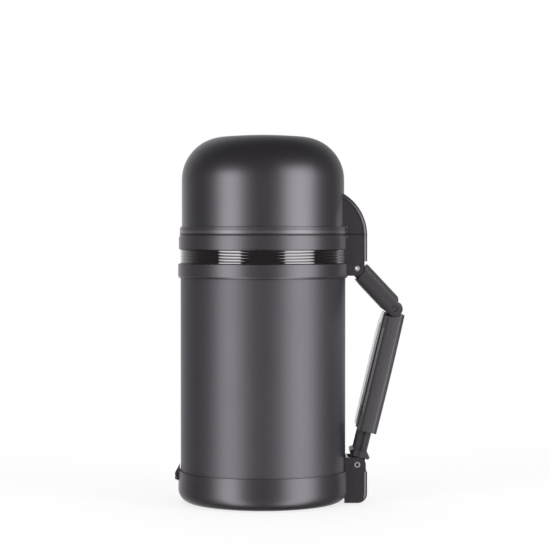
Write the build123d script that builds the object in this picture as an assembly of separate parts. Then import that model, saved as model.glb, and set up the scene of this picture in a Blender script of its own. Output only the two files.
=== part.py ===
from build123d import *
import os
from math import atan2, cos, degrees, hypot, radians, sin, sqrt

# A one-litre vacuum food jar: a double-walled steel bottle with a wide mouth, a
# screw stopper, a nested bowl and a dome cup over it, and a folding side handle.
#
# Millimetres. The origin is the middle of the face that the jar stands on, +Z is
# up and the handle is at +X. Every piece is built where it sits in the closed jar
# with its handle unfolded.

# Clearances
seat_gap = 0.1  # between round pieces that are pressed or bonded together
loose_gap = 0.6  # between round pieces that a hand takes apart
rest_gap = 0.2  # under a piece that stands on another one
pin_gap = 0.05  # round a hinge pin
link_gap = 0.3  # beside and round the links of the handle
through = 1.0  # how far a cut runs past the face that it opens
soft_edge = 0.8  # rounding of moulded rims and corners

# Bottle: an outer shell and an inner vessel with a vacuum between them
body_radius = 52.2
steel_wall = 0.6
vacuum_gap = 4.5
vessel_wall = 0.5
mouth_inset = 12.2  # from the body's side to the mouth
neck_vacuum_gap = 1.4
foot_height = 3.0
body_corner = 5.0
bottom_seam_inset = 6.2
vessel_floor_height = 14.0
vessel_corner = 12.0
shoulder_height = 14.0
shoulder_fillet = 5.0
neck_fillet = 3.0
vessel_shoulder_drop = 2.0
vessel_neck_drop = 4.0
rim_depth = 3.2  # from the collar's deck down to the rim of the bottle
dish_inset = 18.2
dish_rise = 3.4
dish_slope = 3.0
bottom_lip_height = 2.0
seal_radius = 4.0
seal_thickness = 1.2
getter_radius = 5.0
getter_height = 2.4
getter_offset = 18.0
foil_thickness = 0.2
foil_margin = 8.0

# Base ring and the pad that the jar stands on
base_ring_height = 20.1
base_ring_lift = 0.4  # the pad stands this far proud of the ring
base_ring_step = 1.1  # how far the ring stands out from the body
base_ring_flare = 0.4  # from the ring's top down to its soft break
base_ring_foot_flare = 0.6
base_ring_corner = 8.5
base_ring_break = 12.1  # height of the soft break in the ring's side
base_ring_lip = 0.8
base_shelf_inset = 8.2
pad_groove_inset = 20.7
pad_groove_width = 2.0
pad_groove_depth = 0.8

# Split clamp of the base ring, opposite the handle
split_width = 1.0
ear_thickness = 2.9
ear_reach = 2.5
ear_bottom = 13.6
ear_low_corner = 15.0
ear_high_corner = 18.8
ear_top = 24.2
ear_root_gap = 0.6
screw_height = 17.0
screw_radius = 0.8
screw_head_radius = 1.5
screw_head_height = 1.3
nut_width = 3.0
nut_height = 1.2

# Collar, from its lower ring up to the neck that the cup screws on
body_show = 121.9
lower_ring_height = 8.9
lower_ring_step = 1.6
lower_ring_bevel = 1.3
band_height = 9.2
band_step = 0.4
band_thickness = 1.3
rib_count = 5
rib_groove_width = 0.5
rib_groove_depth = 0.4
upper_ring_height = 8.7
upper_ring_step = 1.1
upper_ring_bevel = 1.8
collar_wall = 2.6
collar_neck_height = 11.8
collar_neck_wall = 3.6
bore_height = 5.4  # how far the collar's bore grips the neck of the bottle
mouth_seal_height = 1.8
mouth_seal_width = 1.2

# Cup: shell, liner, insulation and the ring round its mouth
cup_height = 63.4
cup_inset = 0.8  # from the body's side to the cup's
cup_corner = 27.3
cup_crown_rise = 1.2
cup_space = 2.0  # between the shell and the liner
rim_ring_height = 5.6
rim_ring_step = 1.4
rim_ring_top_step = 0.5
rim_ring_waist_step = 1.2
rim_ring_waist = 4.4
rim_ring_floor = 0.8
cup_seam = 0.02  # between the collar and the closed cup
rim_ring_bevel = 0.5
lug_radius = 30.6
lug_wall = 1.9

# Stopper, its gasket, and the pour plug in its middle
plug_depth = 23.0
stopper_wall = 2.0
stopper_floor = 2.0
flange_height = 3.0
gasket_height = 1.7
cap_inset = 0.8  # from the nested bowl's inside to the cap
cap_deck = 2.0
cap_rim_height = 5.8
cap_rim_width = 2.2
cap_notch_count = 24
cap_notch_radius = 1.4
pour_radius = 12.0
pour_wall = 1.5
plug_head_radius = 15.0
plug_head_height = 4.6
plug_stem_clearance = 0.8
plug_gasket_height = 1.0
foam_headroom = 2.0

# Handle: pivot places, links and brackets
pivot_reach = 7.1  # from the body's side
upper_pivot_height = 6.0  # above the collar's lower edge
lower_pivot_height = 4.3  # above the base ring
arm_length = 34.8
open_angle = 43.1  # of the upper arm from straight down
handle_width = 24.0
cheek_thickness = 2.8
pin_radius = 1.9
pin_bore = 1.1
pin_web = 16.0  # closed length in the middle of the lower pin
pin_inset = 0.1
middle_pin_inset = 0.9
bracket_knuckle = 4.6
arm_inner_depth = 5.9
arm_outer_depth = 6.5
arm_knuckle = 4.8
arm_start = 2.8
arm_end = 4.4
arm_end_chamfer = 2.0
arm_low_bevel = 1.3
arm_high_bevel = 0.3
arm_fold_room = 4.8  # keeps the arm's inner corner off the bracket when it folds
arm_knuckle_rise = 0.9
arm_edge_round = 0.7
clevis_slot_half = 7.2
tongue_radius = 4.4
bracket_depth = 13.4  # from the body's side to the bracket's outer face
bracket_web = 1.7
web_end_height = 4.5  # of the bracket's outer web above its pin
bracket_edge_width = 2.3
bracket_edge_fillet = 2.2
side_recess = 0.5
bracket_roof = 2.6
low_bracket_bottom = 0.7
low_bracket_corner = 6.0
low_cheek_reach = 5.5  # of the lower cheeks beyond their pin
body_clearance = 0.3

# Grip: an open channel, closed on its finger side by the pad
grip_bottom = 21.5  # along the grip's line, from the lower pivot
grip_top_gap = 2.6  # from the middle pivot down to the grip's outer corner
grip_shoulder_gap = 5.4
grip_outer_bottom = 7.2
grip_outer_middle = 7.4
grip_outer_top = 6.95
grip_seam = -5.3
grip_wall = 2.0
grip_roof = 11.0
grip_tongue_half = 6.9
rail_depth = 0.4
rail_width = 1.8
rail_bottom = 33.0
rail_top_gap = 13.0
pad_bottom = 24.5
pad_bottom_depth = -6.9
pad_middle_depth = -7.3
pad_top_depth = -7.35
pad_tip_depth = -6.2
pad_tip_gap = 3.4
pad_taper_length = 9.5
pad_wall = 0.6
pad_edge_fillet = 1.3
seam_gap = 0.2

# Lower arm, which telescopes in the grip
slide_inner = -4.4
slide_outer = 4.0
slide_top_gap = 39.0  # from the middle pivot down to the slide's end
slide_groove_width = 1.6
slide_groove_depth = 0.6
slide_wall = 1.6  # round the channel on the slide's finger side
slide_web = 2.0
foot_inner = -6.8
foot_outer = 6.6
foot_low = 5.1
foot_drop = 0.6
foot_inner_top = 7.9
foot_outer_top = 6.3
foot_top = 9.0
foot_round = 1.4
foot_knuckle = 4.9

# Heights that follow from the stack of pieces
base_top = base_ring_lift + base_ring_height
collar_bottom = base_top + body_show
band_bottom = collar_bottom + lower_ring_height
band_top = band_bottom + band_height
collar_deck = band_top + upper_ring_height
neck_top = collar_deck + collar_neck_height
rim_top = collar_deck - rim_depth
cup_bottom = collar_deck + cup_seam
cup_ring_top = cup_bottom + rim_ring_height
cup_top = cup_bottom + cup_height
floor_low = rim_top - plug_depth
flange_low = rim_top + rest_gap + gasket_height + seat_gap
cap_under = neck_top + rest_gap
cap_face = cap_under + cap_deck
shoulder_start = collar_bottom + lower_ring_bevel
shoulder_end = shoulder_start + shoulder_height
seal_bottom = shoulder_end + neck_fillet / 2 + mouth_seal_height

# Radii that follow
mouth_radius = body_radius - mouth_inset
bottom_seam_radius = body_radius - bottom_seam_inset
dish_radius = body_radius - dish_inset
base_ring_radius = body_radius + base_ring_step
base_ring_break_radius = base_ring_radius + base_ring_flare
base_ring_foot_radius = base_ring_radius + base_ring_foot_flare
base_shelf_radius = body_radius - base_shelf_inset
pad_groove_radius = body_radius - pad_groove_inset
lower_ring_radius = body_radius + lower_ring_step
band_radius = body_radius + band_step
upper_ring_radius = body_radius + upper_ring_step
cup_radius = body_radius - cup_inset
rim_ring_radius = cup_radius + rim_ring_step
rim_ring_top_radius = cup_radius + rim_ring_top_step
rim_ring_waist_radius = cup_radius + rim_ring_waist_step
shell_bore = body_radius - steel_wall
vessel_radius = shell_bore - vacuum_gap
vessel_neck = mouth_radius + vessel_wall
shell_neck = vessel_neck + neck_vacuum_gap + steel_wall
body_bore = body_radius + seat_gap
neck_bore = shell_neck + seat_gap
liner_inset = steel_wall + cup_space
collar_neck_radius = cup_radius - liner_inset - steel_wall - loose_gap - seat_gap
collar_neck_bore = collar_neck_radius - collar_neck_wall
bowl_inset = liner_inset + steel_wall + loose_gap
cap_radius = cup_radius - bowl_inset - steel_wall - cap_inset
plug_radius = mouth_radius - loose_gap - seat_gap
flange_radius = collar_neck_bore - loose_gap
bracket_root = 0.9 * body_radius
bracket_reach = body_radius + bracket_depth
screw_x = screw_head_radius - base_ring_radius - ear_reach
ear_outside = split_width / 2 + ear_thickness

# Handle geometry that follows, in the XZ plane
pivot_x = body_radius + pivot_reach
upper_pivot_z = collar_bottom + upper_pivot_height
lower_pivot_z = base_top + lower_pivot_height
middle_x = pivot_x + arm_length * sin(radians(open_angle))
middle_z = upper_pivot_z - arm_length * cos(radians(open_angle))
grip_length = hypot(middle_x - pivot_x, middle_z - lower_pivot_z)
grip_angle = atan2(middle_x - pivot_x, middle_z - lower_pivot_z)
slide_top = grip_length - slide_top_gap
half_width = handle_width / 2
slot_half = half_width - side_recess - cheek_thickness + link_gap
tongue_half = slot_half - link_gap
slide_half = half_width - grip_wall - link_gap - pin_inset

side = Plane.XZ
arm_side = Plane(
    origin=(middle_x, 0, middle_z),
    x_dir=(cos(radians(open_angle)), 0, sin(radians(open_angle))),
    z_dir=(0, -1, 0),
)
grip_side = Plane(
    origin=(pivot_x, 0, lower_pivot_z),
    x_dir=(cos(grip_angle), 0, -sin(grip_angle)),
    z_dir=(0, -1, 0),
)


def outline(*corners):
    """Closed flat face through (x, y) corners; a third number rounds that corner."""
    points = [corner[:2] for corner in corners]
    radii = [corner[2] if len(corner) == 3 else 0 for corner in corners]
    return make_face(FilletPolyline(*points, radius=radii, close=True))


def turned(*corners):
    """Solid of revolution about Z from (radius, height) corners."""
    return revolve(side * outline(*corners), Axis.Z)


def tube(radius, bore, bottom, top):
    return turned((bore, bottom), (radius, bottom), (radius, top), (bore, top))


def disc(radius, bottom, top):
    return turned((0, bottom), (radius, bottom), (radius, top), (0, top))


def slab(face, plane, half):
    """Face drawn in a side plane, thickened by half to each side of it."""
    return extrude(plane * face, half, both=True)


def round_at(x, y, radius):
    return Pos(x, y) * Circle(radius)


def long_lines(body, length):
    """Straight edges of a body that are longer than a length."""
    return body.edges().filter_by(lambda edge: edge.geom_type == GeomType.LINE and edge.length > length)


def cross_pin(x, z, radius, half):
    """Cylinder along Y through (x, z)."""
    return slab(round_at(x, z, radius), side, half)


def bottle_form(radius, neck, bottom, shoulder, neck_start, top, corner=0):
    """Filled bottle: a straight body, a shoulder and a narrower neck."""
    return turned(
        (0, bottom),
        (radius, bottom, corner),
        (radius, shoulder, shoulder_fillet),
        (neck, neck_start, neck_fillet),
        (neck, top),
        (0, top),
    )


def dome_form(inset, bottom):
    """Filled dome of the cup's shape, with its surface moved in by inset."""
    radius = cup_radius - inset
    corner_x = cup_radius - cup_corner
    crown_edge = cup_top - cup_crown_rise - inset
    corner_z = cup_top - cup_crown_rise - cup_corner
    corner_mid = (cup_corner - inset) * sqrt(0.5)
    crown_radius = (corner_x**2 + cup_crown_rise**2) / (2 * cup_crown_rise)
    crown_mid = cup_top - inset - crown_radius + sqrt(crown_radius**2 - corner_x**2 / 4)
    edges = [
        Line((0, bottom), (radius, bottom)),
        Line((radius, bottom), (radius, corner_z)),
        ThreePointArc(
            (radius, corner_z),
            (corner_x + corner_mid, corner_z + corner_mid),
            (corner_x, crown_edge),
        ),
        ThreePointArc((corner_x, crown_edge), (corner_x / 2, crown_mid), (0, cup_top - inset)),
        Line((0, cup_top - inset), (0, bottom)),
    ]
    return revolve(side * make_face(Curve() + edges), Axis.Z)


# ---------------------------------------------------------------- bottle


def outer_shell():
    outside = bottle_form(
        body_radius,
        shell_neck,
        foot_height,
        shoulder_start,
        shoulder_end,
        rim_top - vessel_wall,
        body_corner,
    )
    inside = bottle_form(
        shell_bore,
        shell_neck - steel_wall,
        foot_height + steel_wall,
        shoulder_start,
        shoulder_end,
        rim_top + through,
        body_corner - steel_wall,
    )
    return outside - inside - disc(bottom_seam_radius, 0, foot_height + through)


def vessel_space(inset, bottom, top):
    """Shape of the inner vessel, with its surface moved in by inset."""
    return bottle_form(
        vessel_radius - inset,
        vessel_neck - inset,
        bottom,
        shoulder_start - vessel_shoulder_drop,
        shoulder_end - vessel_neck_drop,
        top,
        vessel_corner - inset,
    )


def inner_vessel():
    outside = vessel_space(0, vessel_floor_height, rim_top)
    inside = vessel_space(vessel_wall, vessel_floor_height + vessel_wall, rim_top + through)
    rim = tube(shell_neck, mouth_radius, rim_top - vessel_wall, rim_top)
    return outside - inside + rim


def shell_bottom():
    """Pressed bottom: a dish that stands clear of the pad, a foot and a lip."""
    rim = bottom_seam_radius - seat_gap
    low = foot_height
    high = foot_height + dish_rise
    return turned(
        (0, high),
        (dish_radius, high),
        (dish_radius + dish_slope, low),
        (rim, low),
        (rim, low + bottom_lip_height),
        (rim - steel_wall, low + bottom_lip_height),
        (rim - steel_wall, low + steel_wall),
        (dish_radius + dish_slope + steel_wall / 2, low + steel_wall),
        (dish_radius + steel_wall / 2, high + steel_wall),
        (0, high + steel_wall),
    )


def vacuum_seal():
    top = foot_height + dish_rise
    return disc(seal_radius, top - seal_thickness, top)


def getter_capsule():
    top = vessel_floor_height - seat_gap
    return Pos(getter_offset, 0, 0) * disc(getter_radius, top - getter_height, top)


def heat_foil():
    inside = vessel_radius + seat_gap
    bottom = vessel_floor_height + vessel_corner
    top = shoulder_start - vessel_shoulder_drop - foil_margin
    return tube(inside + foil_thickness, inside, bottom, top)


def base_pad():
    radius = base_shelf_radius - loose_gap
    groove_in = pad_groove_radius - pad_groove_width / 2
    groove_out = pad_groove_radius + pad_groove_width / 2
    return turned(
        (0, 0),
        (groove_in, 0),
        (groove_in, pad_groove_depth),
        (groove_out, pad_groove_depth),
        (groove_out, 0),
        (radius, 0),
        (radius, foot_height),
        (0, foot_height),
    )


# ---------------------------------------------------------------- base ring


def clamp_ear():
    """Drilled block for the two ears, before the split goes through it."""
    root = -(body_bore + ear_root_gap)
    tip = -(base_ring_radius + ear_reach)
    soft = ear_thickness / 4
    ear = outline(
        (root, ear_bottom),
        (tip, ear_low_corner, soft),
        (tip, ear_high_corner, soft),
        (root, ear_top),
    )
    drilled = ear - round_at(screw_x, screw_height, screw_radius + pin_gap)
    return slab(drilled, side, ear_outside)


def low_bracket():
    """Bracket of the lower pivot, before the slot for the arm's foot."""
    cheeks = outline(
        (bracket_root, low_bracket_bottom),
        (bracket_reach, low_bracket_bottom, low_bracket_corner),
        (bracket_reach, lower_pivot_z - web_end_height),
        (pivot_x + low_cheek_reach, lower_pivot_z - web_end_height),
        (pivot_x + low_cheek_reach, lower_pivot_z + bracket_knuckle, bracket_knuckle),
        (bracket_root, lower_pivot_z + bracket_knuckle),
    )
    window = outline(
        (bracket_reach - bracket_edge_width, 0),
        (bracket_reach + through, 0),
        (bracket_reach + through, lower_pivot_z - web_end_height),
        (bracket_reach - bracket_edge_width, lower_pivot_z - web_end_height),
    )
    return slab(cheeks, side, half_width - side_recess), slab(cheeks & window, side, half_width)


def low_slot():
    """Room between the cheeks, for the foot of the lower arm."""
    inside = base_ring_radius + link_gap
    low = lower_pivot_z - tongue_radius - link_gap
    outside = bracket_reach + link_gap
    high = lower_pivot_z + bracket_knuckle + link_gap
    return slab(outline((inside, low), (outside, low), (outside, high), (inside, high)), side, slot_half)


def base_ring():
    """Ring that is split opposite the handle, with its ears and lower bracket."""
    profile = outline(
        (base_shelf_radius, base_ring_lift),
        (base_ring_foot_radius, base_ring_lift, base_ring_corner),
        (base_ring_break_radius, base_ring_lift + base_ring_break),
        (base_ring_radius, base_top),
        (base_ring_radius - base_ring_lip / 2, base_top),
        (body_bore, base_top - base_ring_lip),
        (body_bore, foot_height, body_corner),
        (base_shelf_radius, foot_height),
    )
    ring = revolve(side * profile, Axis.Z)
    pocket = cross_pin(screw_x, screw_height, screw_head_radius + link_gap, screw_head_height)
    for end in (-1, 1):
        ring -= Pos(0, end * (ear_outside + screw_head_height), 0) * pocket
    cheeks, edge = low_bracket()
    edge = fillet(edge.edges().filter_by(Axis.Z).group_by(Axis.X)[-1], bracket_edge_fillet)
    bracket = cheeks + edge
    bracket -= disc(body_radius + body_clearance, 0, lower_pivot_z + bracket_knuckle + through)
    bracket -= low_slot()
    bracket -= cross_pin(pivot_x, lower_pivot_z, pin_radius + pin_gap, half_width)
    split = Pos(-body_radius, 0, 0) * Box(body_radius, split_width, 2 * body_radius)
    return ring + clamp_ear() + bracket - split


def clamp_screw():
    half = ear_outside + nut_height / 2
    shank = Pos(0, nut_height / 2, 0) * cross_pin(screw_x, screw_height, screw_radius, half)
    head = cross_pin(screw_x, screw_height, screw_head_radius, screw_head_height / 2)
    return shank + Pos(0, -ear_outside - screw_head_height / 2, 0) * head


def clamp_nut():
    hexagon = Pos(screw_x, screw_height) * RegularPolygon(nut_width / 2, 6, major_radius=False)
    nut = slab(hexagon - round_at(screw_x, screw_height, screw_radius + pin_gap), side, nut_height / 2)
    return Pos(0, ear_outside + nut_height / 2, 0) * nut


# ---------------------------------------------------------------- collar


def collar_ring():
    wall_in = band_radius - band_thickness - seat_gap - collar_wall
    neck_out = neck_bore + collar_wall
    deck_under = collar_deck - collar_wall
    bore_low = shoulder_end + neck_fillet / 2
    lean = shoulder_height / (body_radius - shell_neck)
    cone_top = shoulder_start + (body_radius - wall_in) * lean
    return turned(
        (body_bore, collar_bottom),
        (lower_ring_radius - lower_ring_bevel / 2, collar_bottom),
        (lower_ring_radius, collar_bottom + lower_ring_bevel),
        (lower_ring_radius, band_bottom),
        (wall_in + collar_wall, band_bottom),
        (wall_in + collar_wall, band_top),
        (upper_ring_radius, band_top),
        (upper_ring_radius, collar_deck - upper_ring_bevel),
        (upper_ring_radius - upper_ring_bevel / 3, collar_deck),
        (collar_neck_radius, collar_deck),
        (collar_neck_radius, neck_top, soft_edge),
        (collar_neck_bore, neck_top, soft_edge),
        (collar_neck_bore, bore_low + bore_height),
        (neck_bore, bore_low + bore_height),
        (neck_bore, bore_low),
        (neck_out, bore_low),
        (neck_out, deck_under),
        (wall_in, deck_under),
        (wall_in, cone_top + link_gap),
        (body_bore, shoulder_start + link_gap),
    )


def top_bracket():
    """Bracket of the upper pivot: two cheeks, and an outer web above the pin."""
    bottom = upper_pivot_z - bracket_knuckle
    web_bottom = upper_pivot_z + web_end_height
    cheeks = outline(
        (bracket_root, bottom),
        (pivot_x, bottom),
        (pivot_x, upper_pivot_z),
        (pivot_x + bracket_knuckle, upper_pivot_z),
        (pivot_x + bracket_knuckle, web_bottom),
        (bracket_reach - bracket_edge_width / 2, web_bottom),
        (bracket_reach - bracket_edge_width / 2, collar_deck),
        (bracket_root, collar_deck),
    )
    knuckle = round_at(pivot_x, upper_pivot_z, bracket_knuckle)
    edge = outline(
        (bracket_reach - bracket_edge_width, web_bottom),
        (bracket_reach, web_bottom),
        (bracket_reach, collar_deck),
        (bracket_reach - bracket_edge_width, collar_deck),
    )
    edge_bar = slab(edge, side, half_width)
    edge_bar = fillet(edge_bar.edges().filter_by(Axis.Z).group_by(Axis.X)[-1], bracket_edge_fillet)
    return slab(cheeks + knuckle, side, half_width - side_recess) + edge_bar


def top_slot():
    """Room between the cheeks for the arm, and the hollow behind the web."""
    inside = lower_ring_radius + pin_gap
    low = upper_pivot_z - 2 * bracket_knuckle
    outside = bracket_reach + link_gap
    web_bottom = upper_pivot_z + web_end_height
    roof = collar_deck - bracket_roof
    slot = outline((inside, low), (outside, low), (outside, web_bottom), (inside, web_bottom))
    web_in = bracket_reach - bracket_web
    hollow = outline(
        (inside + bracket_web, web_bottom - link_gap),
        (web_in, web_bottom - link_gap),
        (web_in, roof),
        (inside + bracket_web, roof),
    )
    return slab(slot + hollow, side, slot_half)


def collar():
    bracket = top_bracket() - disc(body_radius + body_clearance, 0, band_bottom)
    bracket -= disc(band_radius - band_thickness - collar_wall / 2, band_bottom - through, collar_deck)
    solid = collar_ring() + (bracket - top_slot())
    solid -= cross_pin(pivot_x, upper_pivot_z, pin_radius + pin_gap, half_width)
    seal_groove = neck_bore + mouth_seal_width
    return solid - tube(seal_groove, neck_bore - seat_gap, seal_bottom, seal_bottom + mouth_seal_height)


def mouth_seal():
    low = seal_bottom + seat_gap
    high = seal_bottom + mouth_seal_height - seat_gap
    return tube(neck_bore + mouth_seal_width - seat_gap, shell_neck + seat_gap, low, high)


def trim_band():
    """Ribbed metal strip, open at the bracket."""
    low = band_bottom + seat_gap
    high = band_top - seat_gap
    pitch = (high - low) / rib_count
    groove = band_radius - rib_groove_depth
    corners = [(band_radius - band_thickness, low)]
    for rib in range(rib_count):
        start = low + rib * pitch
        corners += [
            (groove, start),
            (band_radius, start + rib_groove_width / 2),
            (band_radius, start + pitch - rib_groove_width / 2),
        ]
    corners += [(groove, high), (band_radius - band_thickness, high)]
    gap = Pos(body_radius, 0, collar_bottom) * Box(
        body_radius, handle_width - 2 * side_recess + 2 * seat_gap, 2 * body_radius
    )
    return turned(*corners) - gap


# ---------------------------------------------------------------- cup


def cup_shell():
    skirt = cup_radius - steel_wall + seat_gap
    low = cup_bottom + rim_ring_floor + seat_gap
    dome = dome_form(0, cup_ring_top) - dome_form(steel_wall, cup_ring_top - through)
    jog = tube(cup_radius, skirt - steel_wall, cup_ring_top, cup_ring_top + steel_wall)
    return dome + jog + tube(skirt, skirt - steel_wall, low, cup_ring_top + steel_wall)


def cup_liner():
    low = cup_bottom + rim_ring_floor
    return dome_form(liner_inset, low) - dome_form(liner_inset + steel_wall, low - through)


def cup_insulation():
    low = cup_bottom + rim_ring_floor + link_gap
    outside = 2 * steel_wall + seat_gap
    return dome_form(outside, low) - dome_form(liner_inset - seat_gap, low - through)


def cup_lug():
    """Hollow nose of the rim ring, over the handle's upper bracket."""
    centre_x = bracket_reach - lug_radius
    tip = cup_bottom + lug_radius
    window = outline(
        (bracket_root, cup_bottom),
        (bracket_reach + through, cup_bottom),
        (bracket_reach + through, tip),
        (bracket_root, tip),
    )
    outside = window & round_at(centre_x, cup_bottom, lug_radius)
    recess = window & round_at(centre_x, cup_bottom, lug_radius - bracket_edge_width)
    hollow = window & round_at(centre_x, cup_bottom, lug_radius - lug_wall)
    nose = slab(outside, side, half_width)
    nose = fillet(nose.edges().filter_by(GeomType.CIRCLE), bracket_edge_fillet)
    nose -= slab(recess, side, half_width) - slab(recess, side, half_width - side_recess)
    pocket = slab(hollow, side, half_width - side_recess - lug_wall)
    return nose - (pocket - disc(rim_ring_radius + lug_wall, 0, cup_top))


def cup_rim_ring():
    inside = cup_radius - liner_inset - steel_wall + seat_gap
    wall_in = cup_radius - steel_wall + 2 * seat_gap
    ring = turned(
        (inside, cup_bottom),
        (rim_ring_radius - rim_ring_bevel, cup_bottom),
        (rim_ring_radius, cup_bottom + rim_ring_bevel),
        (rim_ring_waist_radius, cup_bottom + rim_ring_waist),
        (rim_ring_top_radius, cup_ring_top),
        (wall_in, cup_ring_top),
        (wall_in, cup_bottom + rim_ring_floor),
        (inside, cup_bottom + rim_ring_floor),
    )
    lug = cup_lug() - disc(cup_radius + seat_gap, cup_ring_top, cup_top)
    return ring + (lug - disc(rim_ring_top_radius - 2 * seat_gap, 0, cup_ring_top + seat_gap))


def inner_bowl():
    return dome_form(bowl_inset, cap_under) - dome_form(bowl_inset + steel_wall, cap_under - through)


# ---------------------------------------------------------------- stopper


def stopper_body():
    floor_high = floor_low + stopper_floor
    cup_wall = turned(
        (pour_radius, floor_low),
        (plug_radius, floor_low, stopper_floor),
        (plug_radius, flange_low),
        (flange_radius, flange_low),
        (flange_radius, cap_under),
        (flange_radius - stopper_wall, cap_under),
        (flange_radius - stopper_wall, flange_low + flange_height),
        (plug_radius - stopper_wall, flange_low + flange_height),
        (plug_radius - stopper_wall, floor_high),
        (pour_radius, floor_high),
    )
    return cup_wall + tube(pour_radius + pour_wall, pour_radius, floor_low, cap_under)


def stopper_gasket():
    low = rim_top + rest_gap
    return tube(shell_neck, plug_radius + seat_gap, low, low + gasket_height)


def stopper_foam():
    inside = pour_radius + pour_wall + seat_gap
    outside = plug_radius - stopper_wall - seat_gap
    return tube(outside, inside, floor_low + stopper_floor, neck_top - foam_headroom)


def stopper_cap():
    rim_in = cap_radius - cap_rim_width
    cap = turned(
        (pour_radius, cap_under),
        (cap_radius, cap_under),
        (cap_radius, cap_face + cap_rim_height, soft_edge),
        (rim_in, cap_face + cap_rim_height, soft_edge),
        (rim_in, cap_face),
        (pour_radius, cap_face),
    )
    notch = disc(cap_notch_radius, cap_under - through, cap_face + cap_rim_height + through)
    for turn in range(cap_notch_count):
        angle = 360 * turn / cap_notch_count
        cap -= Rot(0, 0, angle) * Pos(cap_radius + cap_notch_radius / 2, 0, 0) * notch
    return cap


def pour_plug():
    head_low = cap_face + rest_gap + plug_gasket_height + seat_gap
    stem = pour_radius - plug_stem_clearance
    head_top = head_low + plug_head_height
    body = turned(
        (0, floor_low + stopper_floor),
        (stem, floor_low + stopper_floor, soft_edge),
        (stem, head_low),
        (plug_head_radius, head_low),
        (plug_head_radius, head_top, soft_edge),
        (0, head_top),
    )
    grip_bar = Box(plug_head_radius * 1.2, stopper_wall, plug_head_height)
    moat = disc(plug_head_radius - stopper_wall, head_low + stopper_wall, head_top + through)
    return body - (moat - Pos(0, 0, head_top - plug_head_height / 2) * grip_bar)


def pour_plug_gasket():
    low = cap_face + rest_gap
    stem = pour_radius - plug_stem_clearance
    return tube(plug_head_radius - seat_gap, stem + seat_gap, low, low + plug_gasket_height)


# ---------------------------------------------------------------- handle


def hinge_pin(x, z, web=0):
    """Hollow rivet through a bracket; a web leaves its middle closed."""
    half = half_width - side_recess - pin_inset
    rivet = cross_pin(x, z, pin_radius, half) - cross_pin(x, z, pin_bore, half)
    return rivet + cross_pin(x, z, pin_bore, web / 2) if web else rivet


def upper_arm():
    link = outline(
        (arm_outer_depth - arm_low_bevel, arm_end - arm_end_chamfer),
        (arm_outer_depth, arm_end),
        (arm_outer_depth, arm_length - arm_start),
        (0, arm_length - arm_start),
        (0, arm_length - arm_fold_room),
        (-arm_inner_depth + arm_high_bevel, arm_length - arm_fold_room),
        (-arm_inner_depth, arm_length - 2 * arm_end),
        (-arm_inner_depth, arm_end + arm_knuckle_rise),
        (-arm_knuckle, 0),
        (0, 0),
    )
    link = link + round_at(0, 0, arm_knuckle)
    link = link - round_at(0, arm_length, bracket_knuckle + link_gap)
    bar = outline(
        (-arm_inner_depth, -arm_length),
        (arm_outer_depth, -arm_length),
        (arm_outer_depth, 2 * arm_length),
        (-arm_inner_depth, 2 * arm_length),
    )
    bar = slab(bar, arm_side, half_width)
    body = slab(link, arm_side, half_width) & fillet(long_lines(bar, arm_length), arm_edge_round)
    tongue = round_at(0, arm_length, tongue_radius) + outline(
        (-tongue_radius, arm_length - 2 * tongue_radius),
        (tongue_radius, arm_length - 2 * tongue_radius),
        (tongue_radius, arm_length),
        (-tongue_radius, arm_length),
    )
    body += slab(tongue, arm_side, tongue_half)
    body -= slab(round_at(0, 0, 2 * tongue_radius + link_gap), arm_side, clevis_slot_half)
    body -= slab(round_at(0, arm_length, pin_radius + pin_gap), arm_side, half_width)
    return body - slab(round_at(0, 0, pin_radius + pin_gap), arm_side, half_width)


def middle_pin():
    return cross_pin(middle_x, middle_z, pin_radius, half_width - middle_pin_inset)


def grip_shell():
    top = grip_length - grip_top_gap
    shoulder = grip_length - grip_shoulder_gap
    edges = [
        ThreePointArc(
            (grip_outer_bottom, grip_bottom),
            (grip_outer_middle, (grip_bottom + top) / 2),
            (grip_outer_top, top),
        ),
        Line((grip_outer_top, top), (0, top)),
        Line((0, top), (0, shoulder)),
        Line((0, shoulder), (grip_seam, shoulder)),
        Line((grip_seam, shoulder), (grip_seam, grip_bottom)),
        Line((grip_seam, grip_bottom), (grip_outer_bottom, grip_bottom)),
    ]
    face = make_face(Curve() + edges) - round_at(0, grip_length, arm_knuckle + link_gap)
    body = slab(face, grip_side, half_width)
    outer_edges = body.edges().filter_by(
        lambda edge: edge.geom_type == GeomType.CIRCLE and edge.length > grip_length / 2
    )
    body = fillet(outer_edges, bracket_edge_fillet)
    roof = grip_length - grip_roof
    cavity_out = grip_outer_bottom - grip_wall
    cavity = outline(
        (grip_seam - through, grip_bottom - through),
        (cavity_out, grip_bottom - through),
        (cavity_out, roof),
        (grip_seam - through, roof),
    )
    body -= slab(cavity, grip_side, half_width - grip_wall)
    rail = outline(
        (grip_seam - through, rail_bottom),
        (grip_seam + rail_width, rail_bottom),
        (grip_seam + rail_width, grip_length - rail_top_gap),
        (grip_seam - through, grip_length - rail_top_gap),
    )
    body -= slab(rail, grip_side, half_width) - slab(rail, grip_side, half_width - rail_depth)
    tongue = round_at(0, grip_length, tongue_radius) + outline(
        (-tongue_radius, shoulder - tongue_radius),
        (tongue_radius, shoulder - tongue_radius),
        (tongue_radius, grip_length),
        (-tongue_radius, grip_length),
    )
    body += slab(tongue, grip_side, grip_tongue_half)
    return body - slab(round_at(0, grip_length, pin_radius + pin_gap), grip_side, half_width)


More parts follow.
